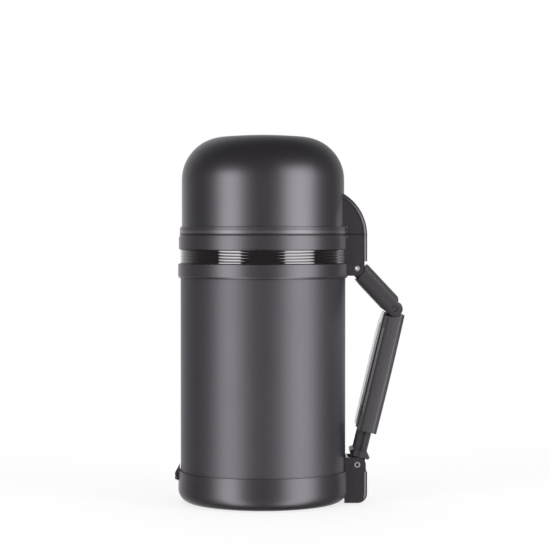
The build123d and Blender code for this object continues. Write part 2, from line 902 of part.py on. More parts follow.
def pad_face(inset, bottom, top, back):
    """Side of the finger pad, from its back edge to its bowed face."""
    tip = top - inset
    flare = grip_length - pad_tip_gap - pad_taper_length
    middle = (bottom + flare) / 2
    edges = [
        Line((back, tip), (pad_tip_depth + inset, tip)),
        Line((pad_tip_depth + inset, tip), (pad_top_depth + inset, flare)),
        ThreePointArc(
            (pad_top_depth + inset, flare),
            (pad_middle_depth + inset, middle),
            (pad_bottom_depth + inset, bottom),
        ),
        Line((pad_bottom_depth + inset, bottom), (back, bottom)),
        Line((back, bottom), (back, tip)),
    ]
    return make_face(Curve() + edges)


def grip_pad():
    back = grip_seam - seam_gap
    top = grip_length - pad_tip_gap
    body = slab(pad_face(0, pad_bottom, top, back), grip_side, half_width)
    long_edges = body.edges().filter_by(
        lambda edge: edge.geom_type == GeomType.CIRCLE and edge.length > grip_length / 2
    )
    body = fillet(long_edges, pad_edge_fillet)
    roof = grip_length - grip_roof
    inside = pad_face(pad_wall, pad_bottom - through, roof + pad_wall, 0)
    return body - slab(inside, grip_side, half_width - grip_wall)


def lower_arm():
    blade = outline(
        (slide_inner, foot_low),
        (slide_outer, foot_low),
        (slide_outer, slide_top),
        (slide_inner, slide_top),
    )
    foot = outline(
        (foot_inner + foot_round, foot_low),
        (slide_outer, foot_low),
        (foot_outer - foot_round / 2, foot_low - foot_drop, foot_round / 2),
        (foot_outer, foot_outer_top, foot_round / 2),
        (slide_outer, foot_top),
        (slide_inner, foot_top),
        (foot_inner, foot_inner_top, foot_round),
    )
    foot = foot - round_at(0, 0, foot_knuckle)
    tongue = round_at(0, 0, tongue_radius) + outline(
        (-tongue_radius, 0),
        (tongue_radius, 0),
        (tongue_radius, foot_top),
        (-tongue_radius, foot_top),
    )
    groove_mid = (slide_inner + slide_outer) / 2
    groove = outline(
        (groove_mid - slide_groove_width / 2, foot_top),
        (groove_mid + slide_groove_width / 2, foot_top),
        (groove_mid + slide_groove_width / 2, slide_top - foot_top),
        (groove_mid - slide_groove_width / 2, slide_top - foot_top),
    )
    channel = outline(
        (slide_inner - through, foot_top),
        (slide_outer - slide_web, foot_top),
        (slide_outer - slide_web, slide_top - slide_wall),
        (slide_inner - through, slide_top - slide_wall),
    )
    body = slab(blade, grip_side, slide_half) - slab(channel, grip_side, slide_half - slide_wall)
    body -= slab(round_at(0, 0, foot_knuckle), grip_side, half_width)
    body += slab(foot, grip_side, half_width)
    body += slab(tongue, grip_side, tongue_half)
    body -= slab(groove, grip_side, slide_half) - slab(groove, grip_side, slide_half - slide_groove_depth)
    return body - slab(round_at(0, 0, pin_radius + pin_gap), grip_side, half_width)


pieces = {
    "outer_shell": outer_shell(),
    "inner_vessel": inner_vessel(),
    "shell_bottom": shell_bottom(),
    "vacuum_seal": vacuum_seal(),
    "getter_capsule": getter_capsule(),
    "heat_foil": heat_foil(),
    "base_pad": base_pad(),
    "base_ring": base_ring(),
    "clamp_screw": clamp_screw(),
    "clamp_nut": clamp_nut(),
    "collar": collar(),
    "mouth_seal": mouth_seal(),
    "trim_band": trim_band(),
    "cup_shell": cup_shell(),
    "cup_liner": cup_liner(),
    "cup_insulation": cup_insulation(),
    "cup_rim_ring": cup_rim_ring(),
    "inner_bowl": inner_bowl(),
    "stopper_body": stopper_body(),
    "stopper_gasket": stopper_gasket(),
    "stopper_foam": stopper_foam(),
    "stopper_cap": stopper_cap(),
    "pour_plug": pour_plug(),
    "pour_plug_gasket": pour_plug_gasket(),
    "upper_pin": hinge_pin(pivot_x, upper_pivot_z),
    "lower_pin": hinge_pin(pivot_x, lower_pivot_z, pin_web),
    "middle_pin": middle_pin(),
    "upper_arm": upper_arm(),
    "grip_shell": grip_shell(),
    "grip_pad": grip_pad(),
    "lower_arm": lower_arm(),
}

os.makedirs("parts", exist_ok=True)
for name, piece in pieces.items():
    export_step(piece, f"parts/{name}.step")

room = vessel_space(vessel_wall, vessel_floor_height + vessel_wall, rim_top)
plug = disc(mouth_radius, rim_top - plug_depth, rim_top)
print(f"room below the stopper: {(room.volume - plug.volume) / 1e6:.2f} litres")
print(f"middle pivot at x {middle_x:.2f}, z {middle_z:.2f}; grip leans {degrees(grip_angle):.2f} degrees")
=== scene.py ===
# %% [markdown]
# # A vacuum food jar with a folding handle
#
# The jar is a painted steel bottle with a satin collar, a polished ribbed band, a dome cup
# and a folding side handle. Its hard pieces come ready made, in metres, each on the body
# that moves it. This lesson gives them their finishes, adds the fine pieces that are easier
# to make here, and then sets up the floor, the light and the camera.

import math

import bmesh
import bpy
from mathutils import Matrix, Vector


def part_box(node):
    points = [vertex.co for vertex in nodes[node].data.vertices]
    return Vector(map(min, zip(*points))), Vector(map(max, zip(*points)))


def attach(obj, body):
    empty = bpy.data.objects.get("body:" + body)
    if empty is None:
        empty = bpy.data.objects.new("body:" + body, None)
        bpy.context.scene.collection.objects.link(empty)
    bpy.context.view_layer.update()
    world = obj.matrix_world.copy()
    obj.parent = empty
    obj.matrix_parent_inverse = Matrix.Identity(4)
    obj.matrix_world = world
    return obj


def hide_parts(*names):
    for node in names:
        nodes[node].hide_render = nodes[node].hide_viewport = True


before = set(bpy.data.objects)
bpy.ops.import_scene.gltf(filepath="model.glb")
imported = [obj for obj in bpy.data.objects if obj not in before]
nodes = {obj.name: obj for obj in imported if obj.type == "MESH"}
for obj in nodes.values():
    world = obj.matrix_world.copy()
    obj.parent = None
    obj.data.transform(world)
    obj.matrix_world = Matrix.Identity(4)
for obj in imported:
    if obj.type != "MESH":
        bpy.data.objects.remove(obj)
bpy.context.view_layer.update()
MM = 0.001

# %% [markdown]
# ## A small language for finishes
#
# A finish is one material: a Principled shader, plus the few things that vary over the
# surface. Wiring nodes by hand is slow to read, so `Wire` wraps a socket and lets it take
# part in sums, and `Shading.node` makes every other node. A value that is the same all over
# the surface is set on the shader's own socket.


# %% Wires
class Wire:
    """An output socket that can be used in a sum."""

    def __init__(self, shading, socket):
        self.shading = shading
        self.socket = socket

    def __add__(self, other):
        return self.shading.math("ADD", self, other)

    def __sub__(self, other):
        return self.shading.math("SUBTRACT", self, other)

    def __rsub__(self, other):
        return self.shading.math("SUBTRACT", other, self)

    def __mul__(self, other):
        return self.shading.math("MULTIPLY", self, other)

    __radd__ = __add__
    __rmul__ = __mul__

    def __pow__(self, exponent):
        return self.shading.math("POWER", self, exponent)

    def sine(self):
        return self.shading.math("SINE", self)


# %% A tree of shader nodes
class Shading:
    """The shader nodes of a material or of the world."""

    def __init__(self, tree):
        self.tree = tree

    def feed(self, socket, value):
        if isinstance(value, Wire):
            self.tree.links.new(value.socket, socket)
        else:
            socket.default_value = value

    def node(self, kind, settings=None, inputs=None, output=0):
        """Make a node: first its settings, then the values or wires of its sockets."""
        made = self.tree.nodes.new("ShaderNode" + kind)
        for label, value in (settings or {}).items():
            if label == "stops":
                self.place_stops(made.color_ramp.elements, value)
            else:
                setattr(made, label, value)
        for label, value in (inputs or {}).items():
            self.feed(made.inputs[label], value)
        return Wire(self, made.outputs[output])

    def place_stops(self, ladder, stops):
        while len(ladder) < len(stops):
            ladder.new(0.5)
        for rung, (position, level) in zip(ladder, stops):
            rung.position = position
            rung.color = (level, level, level, 1)

    def math(self, operation, *values):
        return self.node("Math", {"operation": operation}, dict(enumerate(values)))

    def blend(self, mask, low, high):
        """Mix two colours; on a colour mix, sockets 6 and 7 hold them and 2 gives the result."""
        low, high = (end if isinstance(end, Wire) else (*end, 1) for end in (low, high))
        colours = {"Factor": mask, 6: low, 7: high}
        return self.node("Mix", {"data_type": "RGBA"}, colours, output=2)

    def step(self, value, low, high):
        """Rise smoothly from nothing at low to one at high."""
        ends = {"Value": value, "From Min": low, "From Max": high}
        return self.node("MapRange", {"interpolation_type": "SMOOTHSTEP"}, ends)

    def ramp(self, value, stops, span):
        """A level read off a row of (value, level) stops between nothing and the span."""
        rungs = [(place / span, level) for place, level in stops]
        return self.node("ValToRGB", {"stops": rungs}, {0: value * (1 / span)})


# %% Finishes
class Finish(Shading):
    """A material: constants on its shader, and wires for what varies."""

    def __init__(self, name, constants):
        self.material = bpy.data.materials.new(name)
        self.material.use_nodes = True
        super().__init__(self.material.node_tree)
        self.shader = self.tree.nodes["Principled BSDF"]
        for label, value in constants.items():
            self.shader.inputs[label].default_value = value
        print("finish:", name)

    def place(self, axis=None):
        """Where a point is on the jar, or one of its coordinates."""
        point = self.node("TexCoord", output="Object")
        if axis is None:
            return point
        return self.node("SeparateXYZ", inputs={"Vector": point}, output=axis)

    def height(self):
        """Millimetres above the floor."""
        return self.place("Z") * (1 / MM)

    def reach(self):
        """Distance from the jar's axis."""
        east, north = self.place("X"), self.place("Y")
        return (east * east + north * north) ** 0.5

    def across(self, start, end):
        """Millimetres to the outer side of a line between two (x, z) points."""
        run, rise = end[0] - start[0], end[1] - start[1]
        length = math.hypot(run, rise)
        x = self.place("X") * (1 / MM) - start[0]
        z = self.height() - start[1]
        return z * (run / length) - x * (rise / length)

    def noise(self, scale, detail=2.0, stretch=None):
        point = self.place()
        if stretch:
            point = self.node("Mapping", inputs={"Vector": point, "Scale": stretch})
        sizes = {"Vector": point, "Scale": scale, "Detail": detail}
        return self.node("TexNoise", inputs=sizes)

    def shaded(self, colour, tone):
        """A colour darkened by a tone, which runs from nothing to one."""
        return self.blend(tone, (0.0, 0.0, 0.0), colour)

    def vary(self, label, value):
        self.feed(self.shader.inputs[label], value)

    def tint(self, mask, dark, light):
        """Let the colour run from dark to light with a mask."""
        self.vary("Base Color", self.blend(mask, dark, light))

    def roughen(self, smoothest, spread, mask):
        """Let the roughness rise from the smoothest with a mask."""
        self.vary("Roughness", smoothest + spread * mask)

    def bump(self, height, depth, strength=1.0):
        sizes = {"Height": height, "Distance": depth, "Strength": strength}
        self.vary("Normal", self.node("Bump", inputs=sizes))

    def on(self, *names):
        """Give the finish to jar nodes by name."""
        for name in names:
            mesh = nodes[name].data
            mesh.materials.clear()
            mesh.materials.append(self.material)


# %% [markdown]
# ## The painted steel
#
# The bottle and the cup are sprayed with a dark metallic lacquer and baked. Metal flakes
# lie in it, so it reflects like a rough metal and not like a plastic. Three things keep it
# from looking like a flat render: the flakes differ a little in tone, the lacquer has the
# soft ripple called orange peel, and hands leave faint smooth patches. The colour of the
# cup's dome is darkened toward its top as painted shade, so its tone can also follow the height.

# %% Metallic lacquer
flake_scale, peel_scale, patch_scale = 2600.0, 900.0, 28.0
peel_depth = 0.02 * MM
tone_span = 250.0  # millimetres of height over which a tone is read


def metallic_lacquer(name, dark, light, smoothest, metallic, painted_shade_tones=None):
    """Sprayed metallic paint; flakes run from dark to light, and painted shade follows the
    height.
    """
    lacquer = Finish(name, {"Metallic": metallic, "IOR": 1.5})
    colour = lacquer.blend(lacquer.noise(flake_scale, 1.0), dark, light)
    if painted_shade_tones:
        colour = lacquer.shaded(colour, lacquer.ramp(lacquer.height(), painted_shade_tones, tone_span))
    lacquer.vary("Base Color", colour)
    lacquer.roughen(smoothest, 0.05, lacquer.noise(patch_scale, 3.0))
    lacquer.bump(lacquer.noise(peel_scale, 2.0), peel_depth, 0.5)
    return lacquer


body_dark, body_light = (0.346, 0.330, 0.368), (0.420, 0.402, 0.446)
body_lacquer = metallic_lacquer("body_lacquer", body_dark, body_light, 0.425, 0.95)
body_lacquer.on("outer_shell")

cup_dark, cup_light = (0.422, 0.410, 0.448), (0.512, 0.496, 0.542)
# Painted shade: the colour of the dome is darkened toward its top.
dome_painted_shade = ((205, 1.0), (222, 0.88))
cup_lacquer = metallic_lacquer("cup_lacquer", cup_dark, cup_light, 0.355, 0.98, dome_painted_shade)
cup_lacquer.on("cup_shell")

# %% [markdown]
# ## The satin mouldings
#
# Collar, base ring and the ring round the mouth of the cup are moulded in plastic and
# sprayed to match the steel. Light and shade are painted into the colour by height: painted
# shade in the gap under the cup, a painted highlight on the edge above it, and painted shade
# again at the foot of the lower ring; the base ring is also a little darker. The line in the
# gap runs on over the bracket and the others stay on the rings, so two masks on the distance
# from the axis part the neck, the rings and the bracket.

# %% Satin colour
satin = Finish("satin_moulding", {"Metallic": 0.94, "IOR": 1.5})
satin_grain = satin.noise(1800.0, 2.0)
satin_colour = satin.blend(satin_grain, (0.525, 0.484, 0.536), (0.638, 0.588, 0.652))
neck_edge, bracket_edge = (49.5, 50.2), (54.3, 53.9)  # millimetres from the axis
from_axis = satin.reach() * (1 / MM)
off_neck = satin.step(from_axis, *neck_edge)
on_rings = off_neck * satin.step(from_axis, *bracket_edge)
seam_base, seam_span = 140.0, 40.0


def by_height(stops):
    """A level read off (height, level) stops near the seams, in millimetres."""
    above_base = [(height - seam_base, level) for height, level in stops]
    return satin.ramp(satin.height() - seam_base, above_base, seam_span)


# %% Painted light and shade at the seams
plain_tone, base_ring_tone = 0.69, 0.93
base_ring_edge = (22, 27)  # millimetres above the floor
# Painted highlight on the edge above the gap, and painted shade at the foot of the lower ring.
edge_painted_highlight_and_shade = [
    (141.9, plain_tone),
    (142.2, 0.37),
    (142.8, 0.37),
    (143.1, plain_tone),
    (170.4, plain_tone),
    (170.7, 1.0),
    (172.0, 1.0),
    (172.4, plain_tone),
]
# Painted shade in the gap under the cup.
gap_painted_shade = [(169.6, 1), (169.75, 0.34), (170.1, 0.34), (170.4, 1)]
off_base_ring = satin.step(satin.height(), *base_ring_edge)
tone = plain_tone * (base_ring_tone + (1 - base_ring_tone) * off_base_ring)
tone = tone + on_rings * (by_height(edge_painted_highlight_and_shade) - plain_tone)
tone = tone * (1.0 - off_neck * (1.0 - by_height(gap_painted_shade)))
satin.vary("Base Color", satin.shaded(satin_colour, tone))
satin.roughen(0.33, 0.05, satin.noise(35.0, 3.0))
print("gap under the cup at:", gap_painted_shade[1][0], "mm")

# %% [markdown]
# The moulds are cut on a lathe, which leaves very fine lines that run round the jar, so the
# bump follows the height and not a grain. The same bump softens the two bevels beside the
# gap, which would otherwise catch the dark of the room as broad stripes.

# %% Relief of the mouldings
mould_line_pitch = 1.1 * MM
mould_lines = (satin.place("Z") * (2 * math.pi / mould_line_pitch)).sine()
bevel_relief = [(167.35, 0), (169.15, 0.6), (169.3, 0), (173.6, 0), (174.8, 0.65), (174.95, 0)]
relief = on_rings * by_height(bevel_relief)
line_depth, grain_depth = 0.0036, 0.0022
satin.bump(relief + line_depth * mould_lines + grain_depth * satin_grain, MM, 1.0)
satin.on("collar", "base_ring", "cup_rim_ring")
print("mould lines every", round(mould_line_pitch / MM, 2), "mm")

# %% [markdown]
# ## The handle
#
# The links and the grip are a harder, darker plastic with a fine spark-eroded texture. Each
# is a little crowned across its width, and lines of painted shade darken its colour near one
# edge. Both follow the piece and not the world, so they are read off the distance from the
# line between the two pivots that carry it, in millimetres to its outer side.

# %% Spark-eroded plastic
upper_pivot = (59.3, 148.4)
middle_pivot = (83.08, 122.99)
lower_pivot = (59.3, 24.8)
half_width = 10.0  # levels are read this far to each side of the line
deepest = 2.0  # a ramp holds levels up to one, so relief is counted in this depth


def read_across(finish, start, end, stops):
    """A level read off (offset, level) stops across a piece, in millimetres."""
    shifted = [(offset + half_width, level) for offset, level in stops]
    return finish.ramp(finish.across(start, end) + half_width, shifted, 2 * half_width)


def handle_plastic(name, start, end, relief, painted_shade_tones):
    """Spark-eroded plastic; relief and painted shade are read across the piece."""
    made = Finish(name, {"Metallic": 0.75, "IOR": 1.5})
    grain, speckle = made.noise(2200.0, 3.0), made.noise(750.0, 3.0)
    colour = made.blend(grain, (0.206, 0.191, 0.211), (0.272, 0.254, 0.278))
    made.vary("Base Color", made.shaded(colour, read_across(made, start, end, painted_shade_tones)))
    made.roughen(0.36, 0.10, speckle)
    levels = [(offset, 1.0 + depth / deepest) for offset, depth in relief]
    height = deepest * read_across(made, start, end, levels)
    made.bump(height + 0.015 * grain + 0.07 * speckle, MM, 1.0)
    return made


# %% Grip
grip_relief = [
    (-3.5, -0.1),
    (-2.8, 0),
    (-2, 0),
    (-0.5, -0.04),
    (1, -0.14),
    (2.5, -0.31),
    (4.5, -0.62),
    (6.0, -1.40),
    (7.2, -1.70),
]
# Painted shade: a darker line near the inner edge of the grip.
grip_painted_shade = [(-3.6, 1), (-3.3, 0.55), (-2.9, 0.6), (-2.4, 0.8), (-1.4, 1)]
grip_line = (middle_pivot, lower_pivot)
grip_plastic = handle_plastic("grip_plastic", *grip_line, grip_relief, grip_painted_shade)
grip_plastic.on("grip_shell")

# %% Upper and lower link
link_relief = [(-1, 0), (1.5, -0.08), (3.2, -0.25), (4.6, -1.0), (6.5, -1.3)]
# Painted shade: a darker line near the inner edge of the link.
link_painted_shade = [(-5.1, 0.7), (-4.8, 0.4), (-4.3, 0.4), (-3.9, 0.64), (-2.6, 0.66), (-2.1, 0.82)]
link_line = (upper_pivot, middle_pivot)
link_plastic = handle_plastic("link_plastic", *link_line, link_relief, link_painted_shade)
link_plastic.on("upper_arm")

slide_relief = [(-4, 0), (4, -0.3)]
# Painted shade: a dark inner edge and a darker band across the slide.
slide_painted_shade = [(-4.1, 0.2), (-3.8, 0.8), (-1, 0.8), (-0.7, 0.6), (0.3, 0.6), (0.7, 1)]
slide_plastic = handle_plastic("slide_plastic", *grip_line, slide_relief, slide_painted_shade)
slide_plastic.on("lower_arm")

# %% [markdown]
# The finger pad is lacquered a lighter grey and polished, so that it doesn't chafe. It ends
# in a line of painted shade where it meets the rail of the grip.

# %% Finger pad
pad_sheen = {"Coat Weight": 0.6, "Coat Roughness": 0.12}
pad = Finish("polished_pad", {"Metallic": 0.55, "IOR": 1.5, **pad_sheen})
pad_smears = pad.noise(45.0, 3.0)
pad_colour = pad.blend(pad_smears, (0.570, 0.550, 0.580), (0.640, 0.620, 0.652))
# Painted shade where the pad meets the rail of the grip.
pad_joint_painted_shade = [(-6.7, 1), (-6.1, 0.45), (-5.8, 0.04), (-5.2, 0.04)]
pad.vary("Base Color", pad.shaded(pad_colour, read_across(pad, *grip_line, pad_joint_painted_shade)))
pad.roughen(0.36, 0.08, pad_smears)
pad.bump(pad.noise(500.0, 2.0), 0.01 * MM, 0.4)
pad.on("grip_pad")

# %% [markdown]
# ## Bare metal
#
# The inner bottle, the cup's liner and the nested bowl are spun from steel and brushed while
# they turn, so their scratches run round the axis. Squeezing the noise along the height
# gives such rings; stretching it that way would give upright scratches.

# %% Brushed steel
brushed = Finish("brushed_steel", {"Metallic": 1.0})
brush_marks = brushed.noise(90.0, 4.0, stretch=(0.6, 0.6, 40.0))
brushed.tint(brush_marks, (0.56, 0.55, 0.54), (0.66, 0.65, 0.64))
brushed.roughen(0.24, 0.14, brush_marks)
brushed.bump(brush_marks, 0.02 * MM, 0.4)
brushed.on("inner_vessel", "cup_liner", "inner_bowl", "shell_bottom")

# %% [markdown]
# The pins and the clamp screw are plated, the middle pin is blackened, and the rolled ends
# of the hollow pins are a satin steel. The seal of the vacuum and the getter are dull bare
# metal, and the foil between the two bottles is crumpled, which takes a deeper bump.

# %% Pins and screws
plated = Finish("plated_steel", {"Metallic": 1.0})
plated_marks = plated.noise(700.0, 3.0)
plated.tint(plated_marks, (0.58, 0.58, 0.58), (0.66, 0.66, 0.66))
plated.roughen(0.18, 0.12, plated_marks)
plated.on("upper_pin", "lower_pin", "clamp_screw", "clamp_nut")

rolled_steel = Finish("rolled_steel", {"Metallic": 0.6})
rolled_marks = rolled_steel.noise(900.0, 3.0)
rolled_steel.tint(rolled_marks, (0.62, 0.61, 0.63), (0.74, 0.73, 0.75))
rolled_steel.roughen(0.32, 0.12, rolled_marks)

blackened = Finish("blackened_steel", {"Metallic": 0.8})
blackened_marks = blackened.noise(600.0, 3.0)
blackened.tint(blackened_marks, (0.22, 0.21, 0.22), (0.30, 0.28, 0.30))
blackened.roughen(0.36, 0.14, blackened_marks)
blackened.bump(blackened_marks, 0.04 * MM, 1.0)
blackened.on("middle_pin")

# %% Dull metal and foil
dull = Finish("dull_metal", {"Metallic": 1.0})
dull_marks = dull.noise(400.0, 3.0)
dull.tint(dull_marks, (0.38, 0.37, 0.35), (0.48, 0.47, 0.45))
dull.roughen(0.4, 0.2, dull_marks)
dull.on("vacuum_seal", "getter_capsule")

foil = Finish("crumpled_foil", {"Metallic": 1.0})
creases = foil.noise(160.0, 5.0)
foil.tint(creases, (0.80, 0.79, 0.78), (0.88, 0.88, 0.87))
foil.roughen(0.15, 0.15, creases)
foil.bump(creases, 0.4 * MM, 0.7)
foil.on("heat_foil")

# %% [markdown]
# ## Stopper, seals, foam and pad
#
# These show once the cup and the bowl are lifted off. The stopper is a black moulding and
# its small plug a grey one, the seals are pale silicone, the insulation is closed-cell foam,
# and the foot is soft rubber.

# %% Stopper and plug
stopper = Finish("stopper_moulding", {"IOR": 1.5})
stopper_grain = stopper.noise(1500.0, 3.0)
stopper.tint(stopper_grain, (0.030, 0.030, 0.032), (0.045, 0.045, 0.047))
stopper.roughen(0.38, 0.12, stopper.noise(50.0, 3.0))
stopper.bump(stopper_grain, 0.03 * MM, 0.5)
stopper.on("stopper_body", "stopper_cap")

plug = Finish("plug_moulding", {"IOR": 1.5})
plug_grain = plug.noise(1500.0, 3.0)
plug.tint(plug_grain, (0.21, 0.21, 0.22), (0.26, 0.26, 0.27))
plug.roughen(0.36, 0.12, plug_grain)
plug.bump(plug_grain, 0.03 * MM, 0.5)
plug.on("pour_plug")

# %% Silicone, foam and rubber
soft_light = {"Subsurface Weight": 0.3, "Subsurface Scale": 0.001}
silicone = Finish("silicone", {"IOR": 1.41, **soft_light})
silicone_film = silicone.noise(120.0, 3.0)
silicone.tint(silicone_film, (0.66, 0.66, 0.64), (0.74, 0.74, 0.72))
silicone.roughen(0.4, 0.15, silicone_film)
silicone.on("mouth_seal", "stopper_gasket", "pour_plug_gasket")

foam = Finish("closed_foam", {"IOR": 1.4, "Roughness": 0.9})
foam_cells = foam.node("TexVoronoi", inputs={"Vector": foam.place(), "Scale": 900.0})
foam.tint(foam_cells, (0.80, 0.79, 0.75), (0.88, 0.87, 0.83))
foam.bump(foam_cells, 0.3 * MM, 0.6)
foam.on("cup_insulation", "stopper_foam")

rubber = Finish("foot_rubber", {"IOR": 1.5})
rubber_grain = rubber.noise(1200.0, 4.0)
rubber.tint(rubber_grain, (0.035, 0.035, 0.036), (0.055, 0.055, 0.056))
rubber.roughen(0.65, 0.2, rubber_grain)
rubber.bump(rubber_grain, 0.05 * MM, 0.6)
rubber.on("base_pad")

# %% [markdown]
# ## A small language for repeated shapes
#
# Geometry Nodes suit what repeats or follows a path. `Plan` builds such a tree with named
# sizes, and `Plan.make` turns the result into a plain mesh, because a finished piece must
# carry its shape in its own mesh.


# %% Plans for Geometry Nodes
class Plan:
    """A Geometry Nodes tree with named sizes."""

    def __init__(self, name):
        self.name = name
        self.tree = bpy.data.node_groups.new(name, "GeometryNodeTree")
        sockets = self.tree.interface
        sockets.new_socket("Geometry", in_out="OUTPUT", socket_type="NodeSocketGeometry")
        self.entry = self.tree.nodes.new("NodeGroupInput")

    def size(self, name, kind="Float"):
        self.tree.interface.new_socket(name, in_out="INPUT", socket_type="NodeSocket" + kind)
        return self.entry.outputs[name]

    def node(self, kind, settings=None, inputs=None, output=0):
        made = self.tree.nodes.new(kind)
        for label, value in (settings or {}).items():
            setattr(made, label, value)
        for label, value in (inputs or {}).items():
            if isinstance(value, bpy.types.NodeSocket):
                self.tree.links.new(value, made.inputs[label])
            else:
                made.inputs[label].default_value = value
        return made.outputs[output]

    def math(self, operation, first, second):
        return self.node("ShaderNodeMath", {"operation": operation}, {0: first, 1: second})

    def vector(self, **parts):
        return self.node("ShaderNodeCombineXYZ", inputs=parts)

    def circle(self, points, radius):
        sizes = {"Resolution": points, "Radius": radius}
        return self.node("GeometryNodeCurvePrimitiveCircle", {"mode": "RADIUS"}, sizes)

    def placed(self, geometry, **change):
        """Geometry with a Translation, Rotation or Scale."""
        return self.node("GeometryNodeTransform", inputs={"Geometry": geometry, **change})

    def swept(self, path, section, capped=True):
        """A section drawn along a path."""
        inputs = {"Curve": path, "Profile Curve": section, "Fill Caps": capped}
        return self.node("GeometryNodeCurveToMesh", inputs=inputs)

    def row(self, count, first, offset):
        """Points at equal steps from the first."""
        inputs = {"Count": count, "Start Location": first, "Offset": offset}
        return self.node("GeometryNodeMeshLine", {"mode": "OFFSET"}, inputs)

    def copies(self, shape, points):
        inputs = {"Points": points, "Instance": shape}
        return self.node("GeometryNodeInstanceOnPoints", inputs=inputs)

    def realized(self, geometry):
        return self.node("GeometryNodeRealizeInstances", inputs={"Geometry": geometry})

    def end(self, geometry, material):
        inputs = {"Geometry": self.realized(geometry), "Material": material}
        done = self.node("GeometryNodeSetMaterial", inputs=inputs)
        self.tree.links.new(done, self.tree.nodes.new("NodeGroupOutput").inputs[0])

    def make(self, name, sizes):
        """Run the tree once with these sizes and keep the result as a plain mesh."""
        holder = bpy.data.objects.new(name + "_plan", bpy.data.meshes.new(name + "_plan"))
        bpy.context.scene.collection.objects.link(holder)
        modifier = holder.modifiers.new(self.name, "NODES")
        modifier.node_group = self.tree
        for socket in self.tree.interface.items_tree:
            if socket.in_out == "INPUT":
                modifier[socket.identifier] = sizes[socket.name]
        view = bpy.context.evaluated_depsgraph_get()
        mesh = bpy.data.meshes.new_from_object(holder.evaluated_get(view))
        bpy.data.objects.remove(holder)
        piece = bpy.data.objects.new(name, mesh)
        bpy.context.scene.collection.objects.link(piece)
        print(name, "faces:", len(mesh.polygons))
        return piece


# %% Smoothing
weld_distance = 1e-7


def smooth(piece, angle=35.0):
    """Merge doubles, point the faces outwards and smooth them up to an angle."""
    shape = bmesh.new()
    shape.from_mesh(piece.data)
    bmesh.ops.remove_doubles(shape, verts=shape.verts, dist=weld_distance)
    bmesh.ops.recalc_face_normals(shape, faces=shape.faces)
    limit = math.radians(angle)
    for edge in shape.edges:
        edge.smooth = len(edge.link_faces) == 2 and edge.calc_face_angle(0) < limit
    for face in shape.faces:
        face.smooth = True
    shape.to_mesh(piece.data)
    shape.free()
    return piece


# %% [markdown]
# ## The ribbed band
#
# The band between the collar's two rings is a strip of dark polished metal with five round
# ribs. It is open at the handle's bracket. One rib is an arc with a round section, five of
# them stand on a short vertical line of points, and a thin backing strip closes the gaps.

# %% Sizes and polish of the band
band_low, band_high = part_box("trim_band")
band_radius = band_high[1]
rib_count = 5
rib_pitch = (band_high[2] - band_low[2]) / rib_count
bracket_half = 11.65 * MM
open_angle = math.asin(bracket_half / band_radius)
rib_depth = 0.45 * MM
print("rib pitch:", round(rib_pitch / MM, 2), "mm")

mirror = Finish("polished_band", {"Metallic": 1.0})
mirror_marks = mirror.noise(300.0, 2.0, stretch=(0.4, 0.4, 12.0))
mirror.tint(mirror_marks, (0.60, 0.58, 0.60), (0.66, 0.64, 0.66))
mirror.roughen(0.035, 0.035, mirror_marks)

# %% Five ribs
points_along_rib, points_round_rib = 300, 20
ribs = Plan("ribbed_band")
radius = ribs.size("Radius")
depth = ribs.size("Rib depth")
pitch = ribs.size("Rib pitch")
count = ribs.size("Rib count", "Int")
start = ribs.size("Start angle")
sweep = ribs.size("Sweep")
bottom = ribs.size("Bottom")


def band_arc(inward):
    """The open ring of the band, this many rib depths inside its outer radius."""
    inside = ribs.math("SUBTRACT", radius, ribs.math("MULTIPLY", depth, inward))
    inputs = {"Resolution": points_along_rib, "Radius": inside}
    inputs.update({"Start Angle": start, "Sweep Angle": sweep})
    return ribs.node("GeometryNodeCurveArc", {"mode": "RADIUS"}, inputs)


half_pitch = ribs.math("MULTIPLY", pitch, 0.5)
low_rib = ribs.vector(Z=ribs.math("ADD", bottom, half_pitch))
rungs = ribs.row(count, low_rib, ribs.vector(Z=pitch))
rib_lines = ribs.realized(ribs.copies(band_arc(1.0), rungs))
rib_size = ribs.vector(X=depth, Y=half_pitch, Z=1.0)
rib_section = ribs.placed(ribs.circle(points_round_rib, 1.0), Scale=rib_size)
five_ribs = ribs.swept(rib_lines, rib_section)
print("ribs:", rib_count, "with a depth of", round(rib_depth / MM, 2), "mm")

# %% Backing strip and the band
strip_inward, strip_thickness = 1.4, 0.6  # in rib depths
strip_height = ribs.math("MULTIPLY", pitch, count)
strip_width = ribs.math("MULTIPLY", depth, strip_thickness)
strip_sizes = {"Width": strip_width, "Height": strip_height}
strip_section = ribs.node("GeometryNodeCurvePrimitiveQuadrilateral", inputs=strip_sizes)
strip_middle = ribs.math("ADD", bottom, ribs.math("MULTIPLY", strip_height, 0.5))
strip_line = ribs.placed(band_arc(strip_inward), Translation=ribs.vector(Z=strip_middle))
strip = ribs.swept(strip_line, strip_section)
joined = ribs.node("GeometryNodeJoinGeometry", inputs={"Geometry": strip})
ribs.tree.links.new(five_ribs, joined.node.inputs["Geometry"])
ribs.end(joined, mirror.material)
band_sizes = {
    "Radius": band_radius,
    "Rib depth": rib_depth,
    "Rib pitch": rib_pitch,
    "Rib count": rib_count,
    "Start angle": open_angle,
    "Sweep": 2 * math.pi - 2 * open_angle,
    "Bottom": band_low[2],
}
band = smooth(ribs.make("ribbed_band", band_sizes))
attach(band, "jar")
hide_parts("trim_band")

# %% [markdown]
# ## The threads
#
# The collar's neck, the stopper and the pour plug carry screw threads. A thread is a helix
# with a small rounded section that starts and ends flat in the wall. One plan makes all of
# them from a radius, a pitch, a number of turns and a depth.

